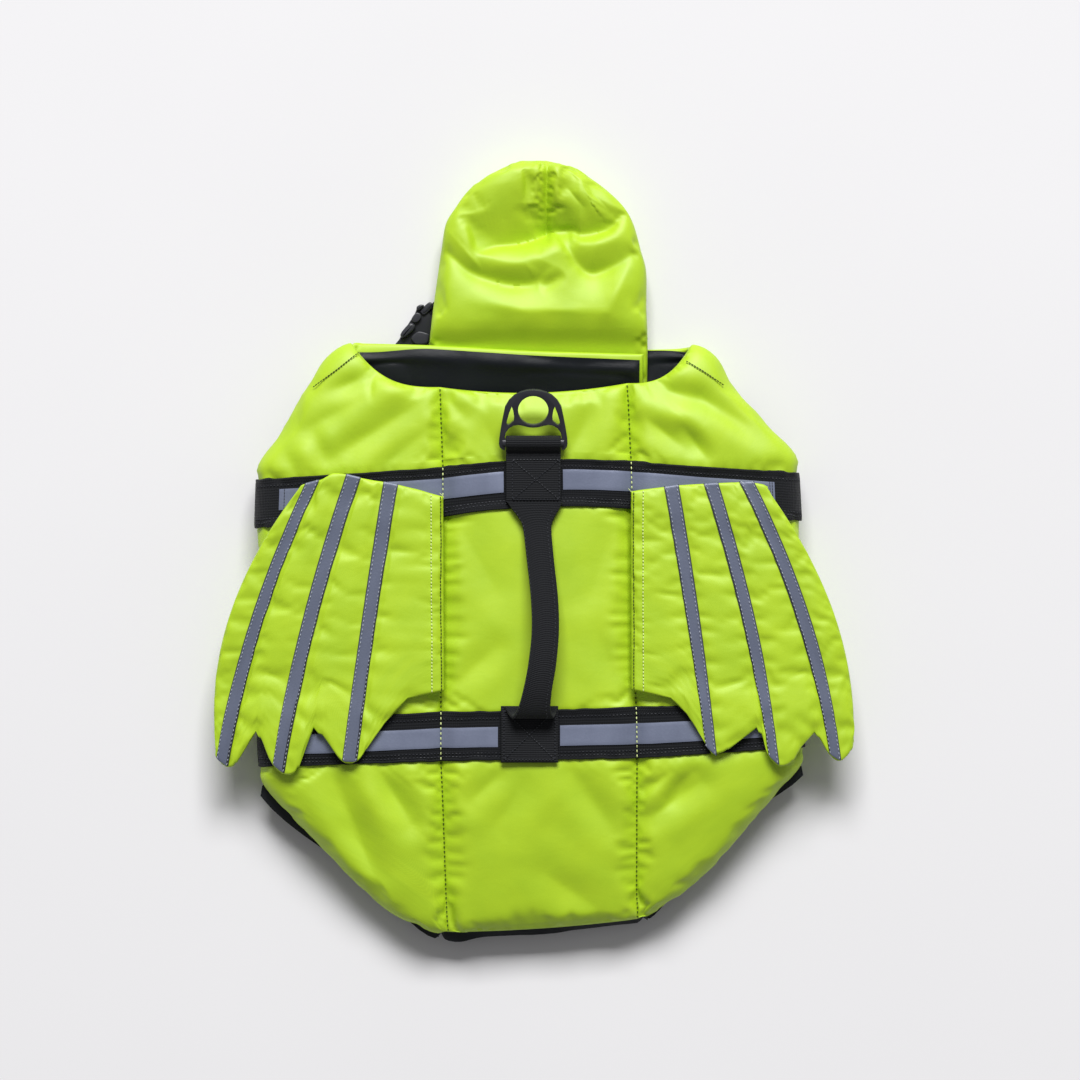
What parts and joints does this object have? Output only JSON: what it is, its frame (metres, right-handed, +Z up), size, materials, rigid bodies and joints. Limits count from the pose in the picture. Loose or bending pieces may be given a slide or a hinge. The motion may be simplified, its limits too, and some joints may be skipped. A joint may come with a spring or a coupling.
{
  "type": "dog life jacket",
  "caption": "Padded dog life jacket lying flat and buckled, with a three-channel back, belly and chest flaps, chin float, side wings, grab handle and swinging lead ring.",
  "frame": {"origin": "centre of the bounding box on the surface the jacket lies on", "axes": "+Z up from the belly to the back, +Y towards the neck and chin float, +X to the right when seen from above with the neck at the top"},
  "size_m": [0.4618, 0.5654, 0.0705],
  "materials": {
    "shell": "woven polyester, bright yellow-green, slight sheen",
    "lining": "plain woven black lining",
    "webbing": "ribbed black polypropylene webbing",
    "tape": "smooth grey reflective tape",
    "plastic": "dark grey moulded plastic"
  },
  "bodies": {
    "garment": {"back_centre_panel": "shell", "back_left_panel": "shell", "back_lining": "lining", "back_right_panel": "shell", "band_lower": "webbing", "band_lower_tape_left": "tape", "band_lower_tape_right": "tape", "band_upper": "webbing", "band_upper_tape_left": "tape", "band_upper_tape_right": "tape", "belly_left_flap": "shell", "belly_left_lining": "lining", "belly_right_flap": "shell", "belly_right_lining": "lining", "belt_lower_left": "webbing", "belt_lower_right": "webbing", "belt_upper_left": "webbing", "belt_upper_right": "webbing", "buckle_lower_plug": "plastic", "buckle_lower_socket": "plastic", "buckle_upper_plug": "plastic", "buckle_upper_socket": "plastic", "chest_left_flap": "shell", "chest_left_lining": "lining", "chest_right_flap": "shell", "chest_right_lining": "lining", "chin_float": "shell", "handle": "webbing", "neck_buckle": "plastic", "neck_strap_front": "webbing", "neck_strap_rear": "webbing", "rear_patch": "webbing", "ring_loop": "webbing", "wing_left": "shell", "wing_left_tape_0": "tape", "wing_left_tape_1": "tape", "wing_left_tape_2": "tape", "wing_right": "shell", "wing_right_tape_1": "tape", "wing_right_tape_2": "tape", "wing_right_tape_3": "tape"},
    "ring": {"d_ring": "plastic"}
  },
  "joints": [
    {"name": "ring_swing", "type": "hinge", "parent": "garment", "child": "ring", "pos_m": [-0.00054, 0.07727, 0.0525], "axis": [1, 0, 0], "range_deg": [-20, 110]}
  ]
}
